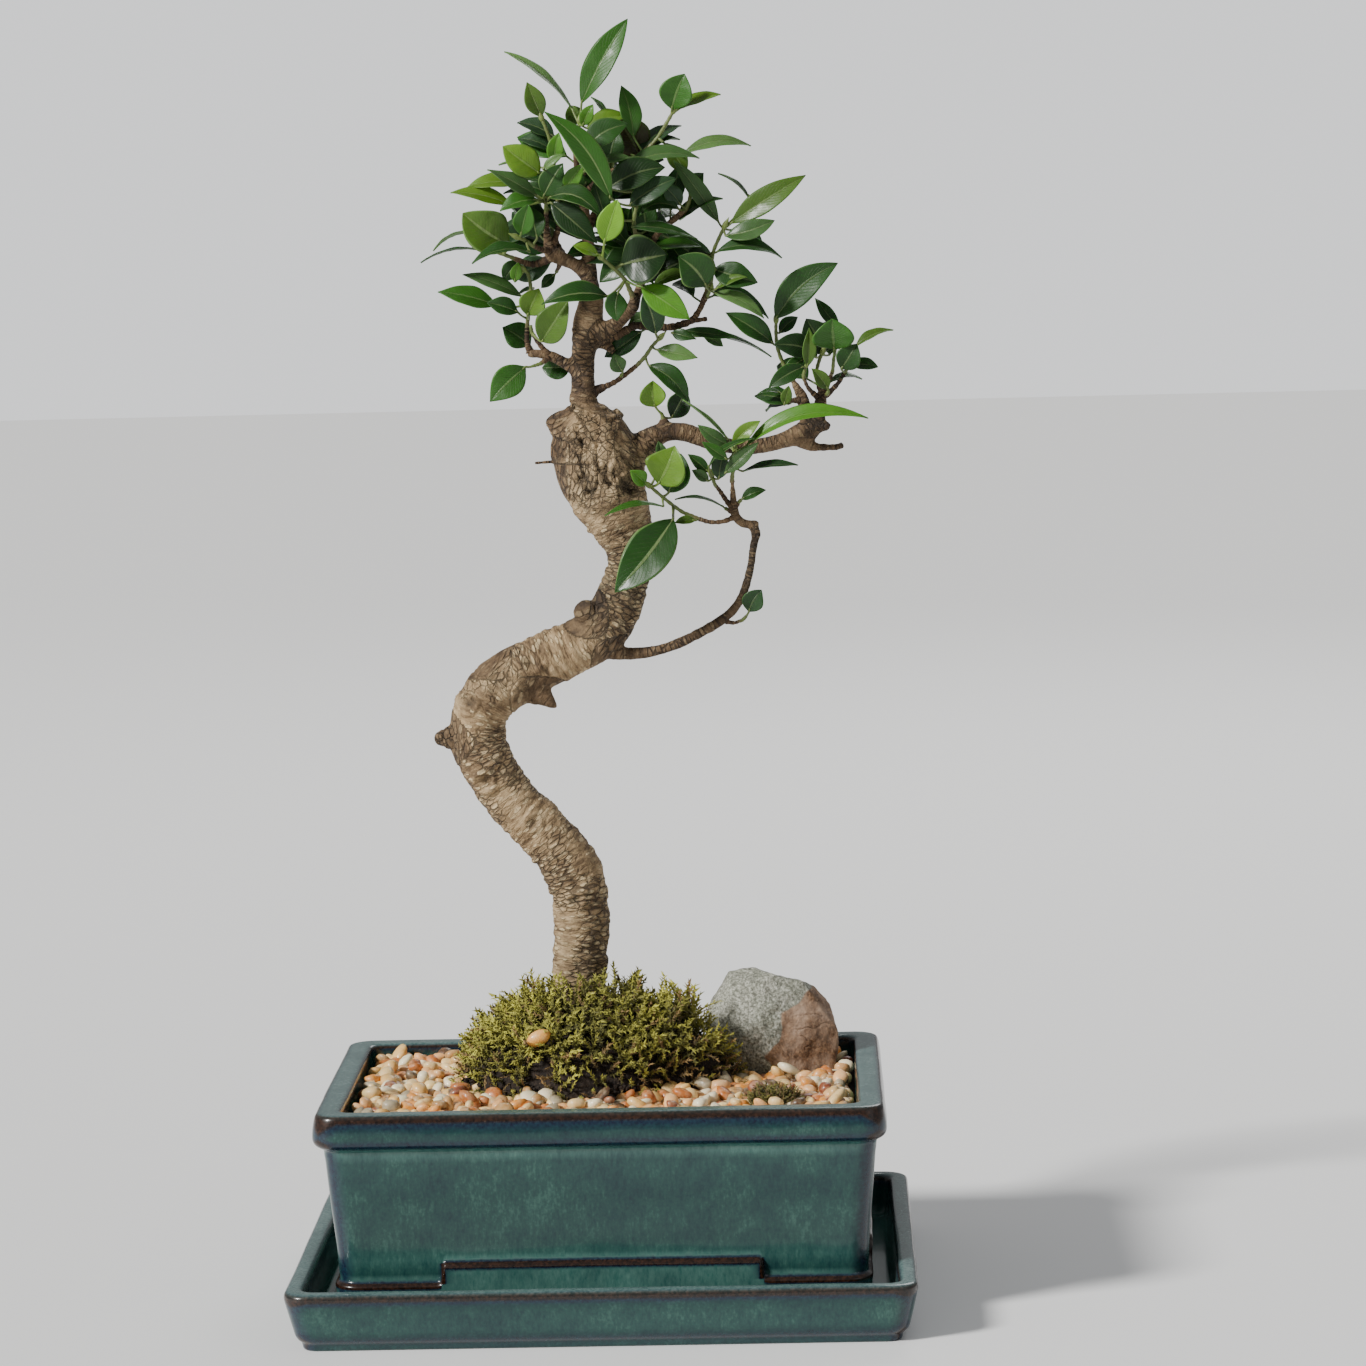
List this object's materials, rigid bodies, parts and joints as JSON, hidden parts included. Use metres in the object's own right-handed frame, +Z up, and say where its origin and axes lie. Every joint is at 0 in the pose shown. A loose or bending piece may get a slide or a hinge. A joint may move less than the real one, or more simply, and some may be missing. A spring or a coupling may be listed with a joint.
{
  "type": "potted bonsai tree",
  "caption": "Small S-curved bonsai with clumps of dark glossy leaves, in a rectangular teal glazed pot on its tray, with gravel, moss and a rock",
  "frame": {"origin": "centre of the tray's underside, on the ground", "axes": "+X along the pot's long side, to the right as seen from the front; +Y from front to back; +Z up"},
  "size_m": [0.224, 0.182, 0.4653],
  "materials": {
    "glaze": "mottled teal glaze, dark brown where it breaks over the edges",
    "screen": "plain black plastic mesh",
    "soil": "damp dark potting soil, stands in as stone grit",
    "gravel": "small rounded river pebbles, cream, tan, orange and grey",
    "moss": "living moss, soft and matt",
    "rock": "rough grey-green and brown stone",
    "amber_stone": "smooth amber pebble",
    "bark": "pale, cracked, living bark",
    "leaf": "glossy living leaves and green shoots"
  },
  "bodies": {
    "root": {"drain_screen_left": "screen", "drain_screen_right": "screen", "drip_tray": "glaze", "feature_rock": "rock", "gravel_bed": "gravel", "leaf_end_front": "leaf", "leaf_inner_small": "leaf", "leaf_left_under": "leaf", "leaf_low_branch": "leaf", "leaf_low_inner": "leaf", "leaf_low_left": "leaf", "leaf_low_left_back": "leaf", "leaf_low_right": "leaf", "leaf_low_thin": "leaf", "moss_mound": "moss", "moss_tuft": "moss", "pebble_on_moss": "amber_stone", "pot": "glaze", "potting_soil": "soil", "shoot_apex": "leaf", "shoot_back_left": "leaf", "shoot_back_right": "leaf", "shoot_back_top": "leaf", "shoot_branch_top": "leaf", "shoot_centre_front": "leaf", "shoot_centre_up": "leaf", "shoot_end_back": "leaf", "shoot_end_heart": "leaf", "shoot_end_left": "leaf", "shoot_end_low": "leaf", "shoot_end_mid": "leaf", "shoot_end_right": "leaf", "shoot_inner_right": "leaf", "shoot_left_bud": "leaf", "shoot_left_front": "leaf", "shoot_left_low": "leaf", "shoot_left_top": "leaf", "shoot_low_end": "leaf", "shoot_low_left": "leaf", "shoot_low_left_front": "leaf", "shoot_low_left_twig": "leaf", "shoot_low_mid": "leaf", "shoot_right_low": "leaf", "shoot_right_mid": "leaf", "shoot_right_thin": "leaf", "shoot_top_mid": "leaf", "shoot_top_right": "leaf", "shoot_up_right": "leaf", "trunk_and_branches": "bark"}
  },
  "joints": []
}
